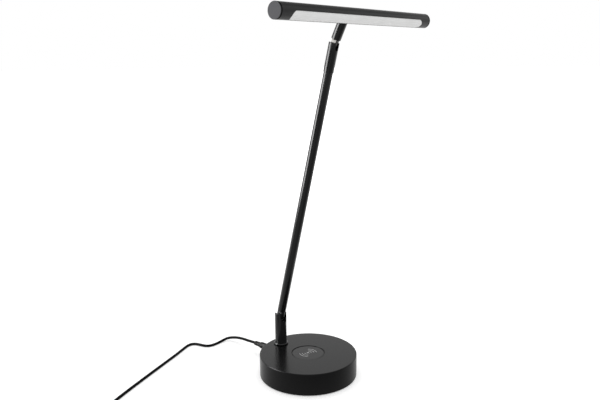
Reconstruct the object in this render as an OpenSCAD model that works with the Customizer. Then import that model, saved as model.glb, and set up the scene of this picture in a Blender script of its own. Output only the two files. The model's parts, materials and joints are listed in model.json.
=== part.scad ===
// Piano lamp: round weighted base with a charging pad, slotted post, leaning pole,
// tilting neck and a round light bar. Millimetres.
// Origin: centre of the underside. +Z up, -Y the way the pole leans, X along the light bar.

/* [Base] */
// Diameter of the base
base_d = 131; // [120:1:150]
// Height of the base above the table
base_h = 30; // [28:1:36]
// Side wall of the base housing
base_wall = 2.5; // [2:0.1:4]
// Top wall of the base housing
base_top = 3.5; // [3:0.1:5]
// Radius of the rounded upper edge of the base
base_edge = 0.8; // [0.6:0.1:2]
// Thickness of the foot pad
foot_h = 1; // [0.8:0.1:2]
// Distance from the foot pad's edge to the base's edge
foot_inset = 4; // [3:0.5:10]
// Thickness of the bottom cover
cover_t = 2; // [1.6:0.1:3]
// Thickness of the ballast plate
ballast_t = 6.6; // [5:0.2:7]
// Diameter of the charging pad disc
pad_d = 44.6; // [38:0.2:50]
// Thickness of the charging pad disc
pad_t = 1.4; // [1:0.1:1.8]
// How far the charging pad lies below the top of the base
pad_sink = 0.4; // [0.3:0.1:1]
// Distance from the centre to each cover screw
screw_ring_r = 50; // [46:0.5:52]

/* [Post] */
// Distance from the post's axis to the base's back edge
post_inset = 16.5; // [16.5:0.5:21]
// Diameter of the post
post_d = 16; // [15.6:0.2:18]
// Height of the post above the base
post_h = 46; // [36:0.1:60]
// Width of the slot in the post
post_slot = 12.2; // [12.2:0.1:12.4]
// Height of the slot's round bottom above the base
slot_low = 32.7; // [25:0.1:34]
// Height of the lower pivot above the slot's bottom
pivot_up = 7.6; // [7.4:0.1:8.2]
// Outer diameter of the collar ring
collar_d = 20; // [18.2:0.2:20.4]
// Height of the collar ring
collar_h = 2.4; // [1.6:0.1:4]

/* [Pole] */
// Diameter of the pole
pole_d = 11.6; // [10.4:0.1:11.8]
// Wall of the pole and the neck
tube_wall = 0.9; // [0.7:0.1:1.4]
// Distance between the lower and the upper pivot
arm_l = 376; // [260:1:460]
// Lean of the pole from upright, in degrees
pole_lean = 14.2; // [0:0.1:25]
// Diameter of the slotted sleeve on top of the pole
sleeve_d = 12.8; // [12.6:0.1:14]
// Length of the sleeve
sleeve_l = 36; // [28:1:50]
// Width of the slot in the sleeve
sleeve_slot = 6; // [5:0.1:6.4]
// Depth of the slot in the sleeve
sleeve_slot_h = 9; // [8.6:0.1:12]

/* [Neck] */
// Diameter of the neck
neck_d = 11.9; // [11:0.1:12.6]
// Lean of the neck from upright, in degrees
neck_lean = 26.7; // [10:0.1:40]
// Length from the upper pivot to the top of the neck tube
neck_l = 38.5; // [37:0.5:40]
// Diameter of the stub between the neck and the light bar
stub_d = 8; // [6:0.2:9]

/* [Light bar] */
// Length of the light bar over its caps
bar_l = 290; // [240:1:340]
// Diameter of the light bar
bar_d = 18; // [17:0.1:19]
// Wall of the light bar's tube
bar_wall = 1.2; // [1:0.1:1.4]
// Distance from the upper pivot forward to the bar's axis
bar_forward = 37.3; // [35:0.1:40]
// Height of the bar's axis above the upper pivot
bar_up = 31; // [28:0.1:32]
// Turn of the bar's opening from straight down to the front, in degrees
open_turn = 44; // [30:1:50]
// Width of the opening for the diffuser
open_w = 13.4; // [12:0.1:14]
// Distance from each end of the bar to the opening
open_inset = 18; // [12:0.5:30]
// How far the diffuser lies below the tube's surface
lens_sink = 0.35; // [0.2:0.05:0.6]
// Thickness of the end caps' outer disc
cap_t = 1; // [0.8:0.1:2]
// Width of the groove behind the end caps' disc
cap_groove = 1.3; // [0.5:0.1:1.8]
// Number of lamps on the light board
led_n = 30; // [12:2:36]

/* [Cable] */
// Diameter of the plug at the base
plug_d = 9.2; // [8:0.1:11]
// Thick end of the plug's strain relief
relief_d = 6.2; // [6:0.1:8]

/* [Fits] */
// Gap between a piece and its seat
gap = 0.15; // [0.1:0.01:0.2]
// Radial clearance of a pivot screw in its bore
run_gap = 0.05; // [0.02:0.01:0.09]

/* [Hidden] */
$fn = 96;
eps = 0.01;

// Base, from the table up
base_r = base_d / 2;
cavity_r = base_r - base_wall;
ceiling_z = base_h - base_top;
cover_top = foot_h + cover_t;
ballast_z = cover_top + gap;
ballast_top = ballast_z + ballast_t;
spacer_h = 0.8;
board_z = ballast_top + spacer_h + gap;
board_t = 1.6;
board_w = 40;
board_back = cavity_r - 4;
board_l = 44;
spacer_x = 16;
boss_d = 8;
screw_d = 3;
screw_l = 12;
screw_head_d = 5.6;
coil_h = 1.8;
coil_out = 21;
coil_in = 10;
ferrite_h = 0.8;
touch_d = 14;
touch_r = 27;
socket_w = 9;
socket_l = 13;
socket_hole = 5.7;

// Post and lower joint
post_y = base_r - post_inset;
stud_d = 10;
washer_t = 1;
nut_t = 3.2;
nut_af = 16;
stud_l = base_top + washer_t + nut_t + 3 * gap;
pivot_z = base_h + slot_low + pivot_up;
pivot_d = 3;
eye_d = 10.4;
foot_t = 8.4;
head_d = 5;
head_t = 1;
wire_hole = 5;
// The washers clear the slot's round bottom
washer_d = 2 * (pivot_up - post_slot / 2 + sqrt(post_slot * gap - gap * gap) - gap);

// Pole and upper joint
pole_start = 9;
sleeve_top = 3;
knuckle_pin_d = 2.5;
knuckle_t = sleeve_slot - 2 * gap;
knuckle_eye = 7.2;
knuckle_head = 4.2;
pole_top = arm_l + sleeve_top - sleeve_slot_h - 1.5;
neck_start = 7.4;
shank_l = 14;

// Light bar
bar_r = bar_d / 2;
bore_r = bar_r - bar_wall;
tube_half = bar_l / 2 - cap_t - cap_groove;
spigot_l = 7;
inner_half = tube_half - spigot_l - gap;
lens_t = 0.9;
spreader_t = 1.6;
strip_w = 9;
strip_end = 8;
pivot_y = post_y - arm_l * sin(pole_lean);
head_z = pivot_z + arm_l * cos(pole_lean);
bar_y = pivot_y - bar_forward;
bar_z = head_z + bar_up;

// Cable: the route starts at the end of the strain relief, so these sizes belong to it
cord_d = 3.9;
plug_l = 22.4;
relief_l = 11.2;
plug_z = 16.2;
// Points in the order that the cord passes them
run_points = [
    [0, 99.5, 16.2], [0, 106, 16.1], [2, 116, 14.5], [5, 127, 12.5], [8, 139, 10], [9, 148, 8],
    [8.5, 156.5, 6], [5.5, 162.5, 4.5], [0, 165, 3.2], [-8, 165.5, 2.3], [-16, 165.5, 2],
    [-24, 166.5, 2], [-29, 169, 2], [-32.5, 174.5, 2], [-34, 181, 2], [-36, 188, 2],
    [-40, 192.5, 2], [-47, 193.5, 2], [-57, 190.5, 2], [-79, 182.5, 2], [-99, 176, 2],
    [-142, 162, 2], [-184, 148, 2], [-212, 138, 2], [-237, 127.5, 2.7], [-249.5, 122, 3.2],
    [-257, 119, 3.2]
];
coil_start = 112;
coil_in_r = 16.5;
coil_step = 5;
spiral_turns = 1.69;
layers = 4;
coil_low = 3.2;
coil_lead = 5;
tail_drops = [0, 0, 2.2, 6.6, 11, 13.6, 14.2, 14.2];
tail_step = 8;
tie_w = 6;
tie_t = 0.8;
far_relief_l = 9;
far_plug_l = 24;

// Where a body's own frame sits: the pole's at the lower pivot with +Z along the pole,
// the neck's at the upper pivot with +Z along the neck, the bar's with -Z out of its opening
module at_pole() { translate([0, post_y, pivot_z]) rotate([pole_lean, 0, 0]) children(); }
module at_neck() { translate([0, pivot_y, head_z]) rotate([neck_lean, 0, 0]) children(); }
module at_bar() { translate([0, bar_y, bar_z]) rotate([-open_turn, 0, 0]) children(); }

module rod_x(d, l) { rotate([0, 90, 0]) cylinder(d = d, h = l, center = true); }
module rod_y(d, l) { rotate([-90, 0, 0]) cylinder(d = d, h = l); }
module at_screws() { for (a = [45 : 90 : 315]) rotate([0, 0, a]) translate([screw_ring_r, 0, 0]) children(); }

function arc(cx, cy, r, a0, a1, n = 8) =
    [for (i = [0 : n]) [cx + r * cos(a0 + (a1 - a0) * i / n), cy + r * sin(a0 + (a1 - a0) * i / n)]];

// Base

module base_shell() {
    rotate_extrude($fn = 180)
        polygon(concat(
            [[0, ceiling_z], [cavity_r, ceiling_z], [cavity_r, foot_h], [base_r - 0.8, foot_h], [base_r, foot_h + 0.8]],
            arc(base_r - base_edge, base_h - base_edge, base_edge, 0, 90),
            [[0, base_h]]));
}

module base_housing() {
    color("#2c2c2e") difference() {
        union() {
            base_shell();
            at_screws() translate([0, 0, cover_top + gap]) cylinder(d = boss_d, h = ceiling_z - cover_top);
        }
        translate([0, 0, base_h - pad_sink - pad_t - gap]) cylinder(d = pad_d + 2 * gap, h = 10);
        translate([0, post_y, 0]) cylinder(d = stud_d + 2 * gap, h = base_h + 1);
        at_screws() translate([0, 0, cover_top]) cylinder(d = screw_d + 2 * run_gap, h = screw_l);
        translate([0, cavity_r - 3, plug_z]) rod_y(socket_hole + 1, base_wall + 6);
    }
}

module bottom_cover() {
    color("#242426") difference() {
        translate([0, 0, foot_h]) cylinder(r = cavity_r - gap, h = cover_t, $fn = 180);
        at_screws() {
            cylinder(d = screw_d + 0.4, h = 10);
            translate([0, 0, foot_h - eps]) cylinder(d = screw_head_d + 0.4, h = 1.2);
        }
    }
}

module foot_pad() {
    color("#1b1b1b") cylinder(r = base_r - foot_inset, h = foot_h, $fn = 180);
}

module cover_screws() {
    color("#8a8a8e") at_screws() {
        translate([0, 0, foot_h + gap]) difference() {
            cylinder(d = screw_head_d, h = 1);
            translate([0, 0, -eps]) cylinder(d = 2.4, h = 0.6, $fn = 6);
        }
        translate([0, 0, foot_h + 1]) cylinder(d = screw_d, h = screw_l - 1);
    }
}

module ballast() {
    color("#6f7276") difference() {
        translate([0, 0, ballast_z]) cylinder(r = cavity_r - 3, h = ballast_t, $fn = 120);
        at_screws() cylinder(d = boss_d + 1, h = base_h);
    }
}

module charging_pad() {
    color("#303032") translate([0, 0, base_h - pad_sink - pad_t]) cylinder(d = pad_d, h = pad_t, $fn = 120);
}

module charging_coil() {
    color("#b5713a") translate([0, 0, ceiling_z - gap - coil_h]) difference() {
        cylinder(r = coil_out, h = coil_h);
        translate([0, 0, -1]) cylinder(r = coil_in, h = coil_h + 2);
    }
}

module ferrite_disc() {
    color("#3c3a38") translate([0, 0, ceiling_z - 2 * gap - coil_h - ferrite_h]) cylinder(r = coil_out + 1.5, h = ferrite_h);
}

module at_spacers() {
    for (x = [-spacer_x, spacer_x], y = [board_back - 4, board_back - board_l + 4]) translate([x, y, 0]) children();
}

module control_board() {
    color("#1f5a38") difference() {
        translate([-board_w / 2, board_back - board_l, board_z]) cube([board_w, board_l, board_t]);
        at_spacers() cylinder(d = 2.6, h = base_h);
        at_screws() cylinder(d = boss_d + 1, h = base_h);
    }
}

module board_parts() {
    color("#2a2a2c") translate([0, board_back - board_l, board_z + board_t + gap]) {
        translate([-13, 14, 0]) cube([8, 8, 1.4]);
        translate([4, 22, 0]) cube([9, 6, 1.6]);
        translate([12, 12, 0]) cylinder(d = 6, h = 5);
        translate([-4, 11, 0]) cylinder(d = 5, h = 5);
        translate([2, 12, 0]) cube([4, 4, 2.4]);
    }
}

module board_spacers() {
    color("#c9b27c") at_spacers() translate([0, 0, ballast_top + gap / 2]) difference() {
        cylinder(d = 5, h = spacer_h);
        translate([0, 0, -1]) cylinder(d = 2.6, h = spacer_h + 2);
    }
}

module touch_plate() {
    color("#c8a24a") translate([0, touch_r - cavity_r, ceiling_z - gap - 0.5]) cylinder(d = touch_d, h = 0.5);
}

module power_socket() {
    color("#202022") difference() {
        translate([-socket_w / 2, cavity_r - socket_l - 1.2, board_z + board_t + gap])
            cube([socket_w, socket_l, 2 * (plug_z - board_z - board_t - gap)]);
        translate([0, cavity_r - socket_l + 1, plug_z]) rod_y(socket_hole, socket_l + 2);
    }
}

// Post and lower joint

module u_slot(w, low, high) {
    rotate([90, 0, 0]) linear_extrude(height = 2 * post_d, center = true) {
        translate([0, low + w / 2]) circle(d = w);
        translate([-w / 2, low + w / 2]) square([w, high - low]);
    }
}

module post() {
    color("#29292b") difference() {
        translate([0, post_y, base_h]) union() {
            rotate_extrude()
                polygon(concat([[0, gap], [post_d / 2, gap]], arc(post_d / 2 - 0.5, post_h - 0.5, 0.5, 0, 90, 4), [[0, post_h]]));
            translate([0, 0, -stud_l]) cylinder(d = stud_d, h = stud_l + 1);
        }
        translate([0, post_y, pivot_z]) {
            u_slot(post_slot, -pivot_up, post_h);
            translate([post_d / 2, 0, 0]) rod_x(pivot_d + 2 * run_gap, post_d);
            translate([-post_slot / 2, 0, 0]) rod_x(pivot_d + 2 * run_gap, 2.6);
            translate([post_d / 2 + 4 - head_t - gap, 0, 0]) rod_x(head_d + 2 * gap, 8);
        }
        translate([0, post_y, 0]) cylinder(d = wire_hole, h = pivot_z);
    }
}

module collar_ring() {
    inner = post_d / 2 + gap;
    half = (collar_d / 2 - inner) / 2;
    color("#38383a") translate([0, post_y, base_h + gap]) rotate_extrude()
        polygon(concat([[inner, 0], [collar_d / 2, 0]],
                       arc(collar_d / 2 - half, collar_h - half, half, 0, 90, 6),
                       [[inner, collar_h]]));
}

module post_washer() {
    color("#9a9a9e") translate([0, post_y, ceiling_z - gap - washer_t]) difference() {
        cylinder(d = nut_af + 1, h = washer_t);
        translate([0, 0, -1]) cylinder(d = stud_d + 2 * gap, h = washer_t + 2);
    }
}

module post_nut() {
    color("#9a9a9e") translate([0, post_y, ceiling_z - 2 * gap - washer_t - nut_t]) difference() {
        cylinder(d = nut_af / cos(30), h = nut_t, $fn = 6);
        translate([0, 0, -1]) cylinder(d = stud_d + 2 * run_gap, h = nut_t + 2);
    }
}

// A screw along X whose head is sunk in the right ear and whose tip sits in the left ear
module pivot_screw(shank, tip_x, seat_x, head, thick) {
    difference() {
        union() {
            translate([(tip_x + seat_x) / 2, 0, 0]) rod_x(shank, seat_x - tip_x + eps);
            translate([seat_x + thick / 2, 0, 0]) rod_x(head, thick);
        }
        translate([seat_x + thick, 0, 0]) rotate([0, -90, 0]) cylinder(d = 1.8, h = thick * 1.2, $fn = 6);
    }
}

module lower_pivot_screw() {
    color("#2f2f31") translate([0, post_y, pivot_z])
        pivot_screw(pivot_d, -post_slot / 2 - 1.1, post_d / 2 - head_t, head_d, head_t - gap);
}

module lower_washers() {
    thick = (post_slot - foot_t) / 2 - 2 * gap;
    color("#3a3b3e") translate([0, post_y, pivot_z]) for (side = [-1, 1])
        translate([side * (foot_t / 2 + gap + thick / 2), 0, 0]) difference() {
            rod_x(washer_d, thick);
            rod_x(pivot_d + 2 * run_gap, thick + 2);
        }
}

// A flat eye on the pivot that runs into a round shank inside the tube
module tongue(eye, pin, thick, start, shank) {
    difference() {
        union() {
            rod_x(eye, thick);
            translate([-thick / 2, -eye / 2, 0]) cube([thick, eye, start]);
            translate([0, 0, start - 0.6]) cylinder(d = eye + 0.6, h = 0.5);
            translate([0, 0, start - 0.2]) cylinder(d = shank, h = shank_l);
        }
        rod_x(pin + 2 * run_gap, thick + 2);
    }
}

module pole_foot() {
    color("#3a3b3e") at_pole() tongue(eye_d, pivot_d, foot_t, pole_start, pole_d - 2 * tube_wall - 2 * gap);
}

// Pole

module tube_z(d, low, high) {
    difference() {
        translate([0, 0, low]) cylinder(d = d, h = high - low);
        translate([0, 0, low - 1]) cylinder(d = d - 2 * tube_wall, h = high - low + 2);
    }
}

module pole() {
    color("#29292b") at_pole() tube_z(pole_d, pole_start, pole_top - gap);
}

module sleeve() {
    top = arm_l + sleeve_top;
    color("#29292b") at_pole() difference() {
        translate([0, 0, top - sleeve_l]) rotate_extrude()
            polygon(concat([[0, 0], [sleeve_d / 2 - 0.3, 0], [sleeve_d / 2, 0.3]],
                           arc(sleeve_d / 2 - 0.4, sleeve_l - 0.4, 0.4, 0, 90, 4), [[0, sleeve_l]]));
        translate([0, 0, top - sleeve_l - 1]) cylinder(d = pole_d + 2 * gap, h = pole_top - top + sleeve_l + 1);
        translate([0, 0, arm_l]) {
            u_slot(sleeve_slot, sleeve_top - sleeve_slot_h, sleeve_top + 10);
            translate([sleeve_d / 2, 0, 0]) rod_x(knuckle_pin_d + 2 * run_gap, sleeve_d);
            translate([-sleeve_slot / 2, 0, 0]) rod_x(knuckle_pin_d + 2 * run_gap, 3.2);
            translate([sleeve_d / 2 + 4 - head_t - gap, 0, 0]) rod_x(knuckle_head + 2 * gap, 8);
        }
    }
}

module upper_pivot_screw() {
    color("#2f2f31") at_pole() translate([0, 0, arm_l])
        pivot_screw(knuckle_pin_d, -sleeve_slot / 2 - 1.4, sleeve_d / 2 - head_t, knuckle_head, head_t - gap);
}

// Neck and light bar

module knuckle() {
    color("#c9c9c6") at_neck() tongue(knuckle_eye, knuckle_pin_d, knuckle_t, neck_start, neck_d - 2 * tube_wall - 2 * gap);
}

module neck() {
    color("#29292b") difference() {
        at_neck() tube_z(neck_d, neck_start, neck_l);
        translate([0, bar_y, bar_z]) rod_y(wire_hole - 1.5, bar_forward);
    }
}

module neck_cap() {
    color("#29292b") at_neck() translate([0, 0, neck_l + gap]) rotate_extrude()
        polygon(concat([[0, 0], [neck_d / 2, 0]], arc(neck_d / 2 - 0.8, 0.4, 0.8, 0, 90, 5), [[0, 1.2]]));
}

module stub() {
    color("#29292b") difference() {
        translate([0, bar_y, bar_z]) rod_y(stub_d, bar_forward);
        at_bar() rod_x(bar_d + 2 * gap, bar_l);
        at_neck() cylinder(d = neck_d + 2 * gap, h = 2 * neck_l);
        translate([0, pivot_y - bar_up * tan(neck_lean), bar_z]) rotate([neck_lean, 0, 0])
            translate([-bar_r, 0, -bar_forward]) cube([bar_d, 2 * bar_forward, 2 * bar_forward]);
        translate([0, bar_y, bar_z]) rod_y(wire_hole - 1.5, bar_forward);
    }
}

// The stadium outline of the opening, less a clearance all round
module opening(clear = 0) {
    half = bar_l / 2 - open_inset - open_w / 2;
    translate([0, 0, -bar_d]) linear_extrude(height = bar_d) {
        square([2 * half, open_w - 2 * clear], center = true);
        for (side = [-1, 1]) translate([side * half, 0]) circle(d = open_w - 2 * clear);
    }
}

module bar_tube() {
    color("#2b2b2d") difference() {
        at_bar() difference() {
            rod_x(bar_d, 2 * tube_half);
            rod_x(2 * bore_r, 2 * tube_half + 2);
            opening();
        }
        translate([0, bar_y, bar_z]) rod_y(wire_hole - 1.5, bar_forward);
    }
}

module end_cap(side) {
    color("#4a4a4d") at_bar() {
        translate([side * (bar_l / 2 - cap_t / 2), 0, 0]) rod_x(bar_d, cap_t);
        translate([side * (tube_half + cap_groove / 2), 0, 0]) rod_x(2 * bore_r - 2 * gap, cap_groove + 2 * eps);
        translate([side * (tube_half - spigot_l / 2), 0, 0]) rod_x(2 * bore_r - 2 * gap, spigot_l + 2 * eps);
    }
}

module end_cap_left() { end_cap(-1); }
module end_cap_right() { end_cap(1); }

module diffuser() {
    flange_top = -spreader_t / 2 - gap;
    color("#e9e9e6") at_bar() difference() {
        union() {
            intersection() {
                rod_x(2 * bore_r - 2 * gap, 2 * inner_half);
                translate([-bar_l, -bar_d, flange_top - bar_d]) cube([2 * bar_l, 2 * bar_d, bar_d]);
            }
            intersection() {
                rod_x(bar_d - 2 * lens_sink, 2 * inner_half);
                translate([0, 0, flange_top]) opening(gap);
            }
        }
        rod_x(2 * (bore_r - gap - lens_t), 2 * bar_l);
    }
}

module heat_spreader() {
    color("#b4b6b9") at_bar() intersection() {
        rod_x(2 * bore_r - 2 * gap, 2 * inner_half);
        translate([-bar_l, -bar_d, -spreader_t / 2]) cube([2 * bar_l, 2 * bar_d, spreader_t]);
    }
}

module light_board() {
    color("#e4e4e0") at_bar() translate([-inner_half + 2, -strip_w / 2, -spreader_t / 2 - gap - 1])
        cube([2 * inner_half - 4, strip_w, 1]);
}

module lamps() {
    span = 2 * (inner_half - strip_end);
    color("#f0dc8a") at_bar() for (i = [0 : led_n - 1])
        translate([-span / 2 + span * i / (led_n - 1), 0, -spreader_t / 2 - 2 * gap - 1.4])
            cube([3.5, 2.8, 0.8], center = true);
}

// Cable

module plug_body() {
    color("#222224") translate([0, base_r + gap, plug_z]) rotate([-90, 0, 0]) rotate_extrude()
        polygon(concat([[0, 0], [plug_d / 2 - 0.5, 0], [plug_d / 2, 0.5]],
                       arc(plug_d / 2 - 1, plug_l - 1, 1, 0, 90, 5), [[0, plug_l]]));
}

module plug_barrel() {
    color("#c9c9c9") difference() {
        translate([0, base_r + gap - 9.5, plug_z]) rod_y(socket_hole - 2 * gap, 9.5);
        translate([0, base_r + gap - 10, plug_z]) rod_y(2.1, 8);
    }
}

// A slim tapered sleeve with three grooves, from its thick end at 0 along +Z
module relief(thick, length) {
    difference() {
        rotate_extrude() polygon(concat([[0, 0], [thick / 2, 0]],
            arc(cord_d / 2, length - 0.6, 0.6, 0, 90, 4), [[0, length]]));
        for (i = [1 : 3]) translate([0, 0, length * (0.3 + 0.17 * i)]) difference() {
            cylinder(d = thick + 1, h = 0.7);
            translate([0, 0, -1]) cylinder(d = thick - 1.1 - 0.3 * i, h = 3);
        }
    }
}

module strain_relief() {
    color("#222224") translate([0, base_r + plug_l + 2 * gap, plug_z]) rotate([-90, 0, 0]) relief(relief_d, relief_l);
}

function unit(v) = v / norm(v);
function spline(p, i, t) = let (n = len(p) - 1, a = p[max(i - 1, 0)], b = p[i], c = p[min(i + 1, n)], d = p[min(i + 2, n)])
    0.5 * (2 * b + (c - a) * t + (2 * a - 5 * b + 4 * c - d) * t * t + (3 * b - a - 3 * c + d) * t * t * t);
// A point in each long stretch between two route points keeps the rings 2 to 3 diameters apart
function route(p) = concat([for (i = [0 : len(p) - 2])
    let (n = max(1, round(norm(p[i + 1] - p[i]) / (2.6 * cord_d)))) each [for (k = [0 : n - 1]) spline(p, i, k / n)]],
    [p[len(p) - 1]]);
function length_of(p, i = 1) = i >= len(p) ? 0 : norm(p[i] - p[i - 1]) + length_of(p, i + 1);

// A closed tube of the cord's diameter round a list of points, its ends square to it
module tube_along(p, sides) {
    n = len(p);
    points = [for (i = [0 : n - 1])
        let (t = unit(p[min(i + 1, n - 1)] - p[max(i - 1, 0)]), s = unit(cross(t, [0, 0, 1])), u = cross(s, t))
        each [for (k = [0 : sides - 1]) p[i] + cord_d / 2 * (s * cos(360 * k / sides) + u * sin(360 * k / sides))]];
    faces = concat(
        [[for (k = [0 : sides - 1]) k]],
        [[for (k = [sides - 1 : -1 : 0]) (n - 1) * sides + k]],
        [for (i = [0 : n - 2], k = [0 : sides - 1]) let (a = i * sides + k, b = i * sides + (k + 1) % sides) [a, a + sides, b]],
        [for (i = [0 : n - 2], k = [0 : sides - 1]) let (a = i * sides + k, b = i * sides + (k + 1) % sides) [b, a + sides, b + sides]]);
    polyhedron(points, faces, convexity = 6);
}

module cord_run() {
    color("#1f1f21") tube_along(route(run_points), 8);
}

// The coil spirals in and out in layers, and climbs in the half turn between two layers
layer_turns = spiral_turns + 0.5;
coil_turns = layers * spiral_turns + (layers - 1) * 0.5;
coil_out_r = coil_in_r + spiral_turns * coil_step;
run_end = run_points[len(run_points) - 1];
coil_x = run_end.x - coil_lead * sin(coil_start) - coil_out_r * cos(coil_start);
coil_y = run_end.y + coil_lead * cos(coil_start) - coil_out_r * sin(coil_start);
function ease(t) = (1 - cos(180 * t)) / 2;
function coil_at(u) = let (
        k = min(floor(u / layer_turns), layers - 1),
        v = u - k * layer_turns,
        s = min(v / spiral_turns, 1),
        r = k % 2 == 0 ? coil_out_r - s * spiral_turns * coil_step : coil_in_r + s * spiral_turns * coil_step,
        z = coil_low + coil_step * (k + ease(max(0, (v - spiral_turns) / 0.5))),
        a = coil_start + 360 * u)
    [coil_x + r * cos(a), coil_y + r * sin(a), z];
coil_rings = round(24 * coil_turns);
coil_curve = [for (i = [0 : coil_rings]) coil_at(coil_turns * i / coil_rings)];
function heading(a) = [-sin(a), cos(a), 0];
coil_end_a = coil_start + 360 * coil_turns;
coil_points = concat([coil_curve[0] - coil_lead * heading(coil_start)], coil_curve,
                     [coil_curve[coil_rings] + coil_lead * heading(coil_end_a)]);
// Least clear distance between turns, on points at least half a turn apart
coil_gap = min([for (i = [0 : coil_rings], j = [i + 12 : coil_rings])
    norm(coil_curve[i] - coil_curve[j]) - cord_d]);
run_length = length_of(route(run_points));
coil_length = length_of(coil_points);
tail_from = coil_points[coil_rings + 2];
tail_points = [for (i = [0 : len(tail_drops) - 1])
    tail_from + i * tail_step * heading(coil_end_a) - [0, 0, tail_drops[i]]];
echo(coil_gap = coil_gap, run = run_length, coil = coil_length, tail = length_of(tail_points));
echo(coil_entry = coil_points[0], coil_end = coil_end_a % 360, tail_end = tail_points[len(tail_points) - 1]);

module cord_coil() {
    color("#1f1f21") tube_along(coil_points, 6);
}

module cord_tail() {
    color("#1f1f21") tube_along(tail_points, 8);
}

module coil_tie() {
    wide = coil_out_r - coil_in_r + cord_d + 5 * gap;
    tall = (layers - 1) * coil_step + cord_d + 2 * gap;
    low = coil_low - cord_d / 2 - gap;
    color("#3a3a3c") translate([coil_x, coil_y, 0]) rotate([0, 0, coil_start + 60])
        translate([(coil_out_r + coil_in_r) / 2, 0, low + tall / 2]) rotate([90, 0, 0])
            linear_extrude(height = tie_w, center = true) difference() {
                square([wide + 2 * tie_t, tall + 2 * tie_t], center = true);
                square([wide, tall], center = true);
            }
}

// The far plug's frame: +Z along the plug, away from the cord
module at_far_plug() {
    end = tail_points[len(tail_points) - 1];
    translate(end) rotate([0, 0, coil_end_a]) rotate([-90, 0, 0]) children();
}

module far_relief() {
    color("#222224") at_far_plug() translate([0, 0, gap + far_relief_l]) mirror([0, 0, 1]) relief(relief_d, far_relief_l);
}

module far_plug() {
    color("#222224") at_far_plug() translate([0, 0, far_relief_l + 2 * gap]) linear_extrude(height = far_plug_l) {
        square([15.4, 5.4], center = true);
        square([13.4, 7.4], center = true);
        for (x = [-6.7, 6.7], y = [-2.7, 2.7]) translate([x, y]) circle(d = 2);
    }
}

module far_plug_shell() {
    color("#c4c5c8") at_far_plug() translate([0, 0, far_relief_l + far_plug_l + 3 * gap]) difference() {
        translate([-6, -2.25, 0]) cube([12, 4.5, 12]);
        translate([-5.6, -1.85, 2]) cube([11.2, 3.7, 12]);
    }
}

base_housing();
bottom_cover();
foot_pad();
cover_screws();
ballast();
charging_pad();
charging_coil();
ferrite_disc();
control_board();
board_parts();
board_spacers();
touch_plate();
power_socket();
post();
collar_ring();
post_washer();
post_nut();
lower_pivot_screw();
lower_washers();
pole_foot();
pole();
sleeve();
upper_pivot_screw();
knuckle();
neck();
neck_cap();
stub();
bar_tube();
end_cap_left();
end_cap_right();
diffuser();
heat_spreader();
light_board();
lamps();
plug_body();
plug_barrel();
strain_relief();
cord_run();
cord_coil();
cord_tail();
coil_tie();
far_relief();
far_plug();
far_plug_shell();
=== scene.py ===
import json
import math

import bmesh
import bpy
from mathutils import Matrix, Vector


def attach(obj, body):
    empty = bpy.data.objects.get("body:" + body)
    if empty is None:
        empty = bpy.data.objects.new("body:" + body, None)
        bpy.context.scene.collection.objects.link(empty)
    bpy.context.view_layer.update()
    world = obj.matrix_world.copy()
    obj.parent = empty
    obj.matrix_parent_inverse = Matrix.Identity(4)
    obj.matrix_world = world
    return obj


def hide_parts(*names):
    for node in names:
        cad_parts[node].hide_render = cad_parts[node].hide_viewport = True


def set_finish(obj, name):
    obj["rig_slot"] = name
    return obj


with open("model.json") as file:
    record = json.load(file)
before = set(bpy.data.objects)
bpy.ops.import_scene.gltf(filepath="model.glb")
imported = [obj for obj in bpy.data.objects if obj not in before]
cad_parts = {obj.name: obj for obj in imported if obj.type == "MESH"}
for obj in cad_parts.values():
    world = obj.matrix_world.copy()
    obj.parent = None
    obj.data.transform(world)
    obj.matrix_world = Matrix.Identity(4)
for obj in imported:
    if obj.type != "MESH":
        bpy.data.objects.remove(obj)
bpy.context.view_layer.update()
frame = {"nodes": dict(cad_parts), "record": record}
nodes = frame["nodes"]
scene = bpy.context.scene

cameraValues = {
    "place": (-0.6465, -0.5368, 0.4177),  # in metres
    "azimuth": -49.69,  # degrees round the lamp from straight in front
    "lookDown": 11.87,
    "roll": -0.57,
    "lens": 39.97,
    "sensor": 36.0,
    "nearest": 0.01,
}


def makeCamera(values):
    data = bpy.data.cameras.new("photoCamera")
    data.sensor_fit = "HORIZONTAL"
    data.sensor_width = values["sensor"]
    data.lens = values["lens"]
    data.clip_start = values["nearest"]
    camera = bpy.data.objects.new("photoCamera", data)
    scene.collection.objects.link(camera)
    turn = Matrix.Rotation(math.radians(values["azimuth"]), 4, "Z")
    tip = Matrix.Rotation(math.radians(90 - values["lookDown"]), 4, "X")
    roll = Matrix.Rotation(math.radians(values["roll"]), 4, "Z")
    camera.matrix_world = Matrix.Translation(values["place"]) @ turn @ tip @ roll
    scene.camera = camera


makeCamera(cameraValues)
print("camera placed")

mm = 0.001
turnX = Matrix.Rotation(math.pi / 2, 4, "X")
turnY = Matrix.Rotation(math.pi / 2, 4, "Y")

# measures are in millimetres and angles in degrees, here and in every piece's values
lampValues = {
    "baseRadius": 65.5,
    "baseHeight": 30,
    "postBack": 49,
    "pivotZ": 70.3,
    "armLength": 376,
    "poleLean": 14.2,
    "neckLean": 26.7,
    "barForward": 37.3,
    "barUp": 31,
    "openTurn": 44,
    "padTop": 29.6,
    "plugUp": 16.2,
    "plugGap": 0.15,
}


def shift(x, y, z):
    return Matrix.Translation((x * mm, y * mm, z * mm))


def tilt(degrees):
    return Matrix.Rotation(math.radians(degrees), 4, "X")


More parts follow.
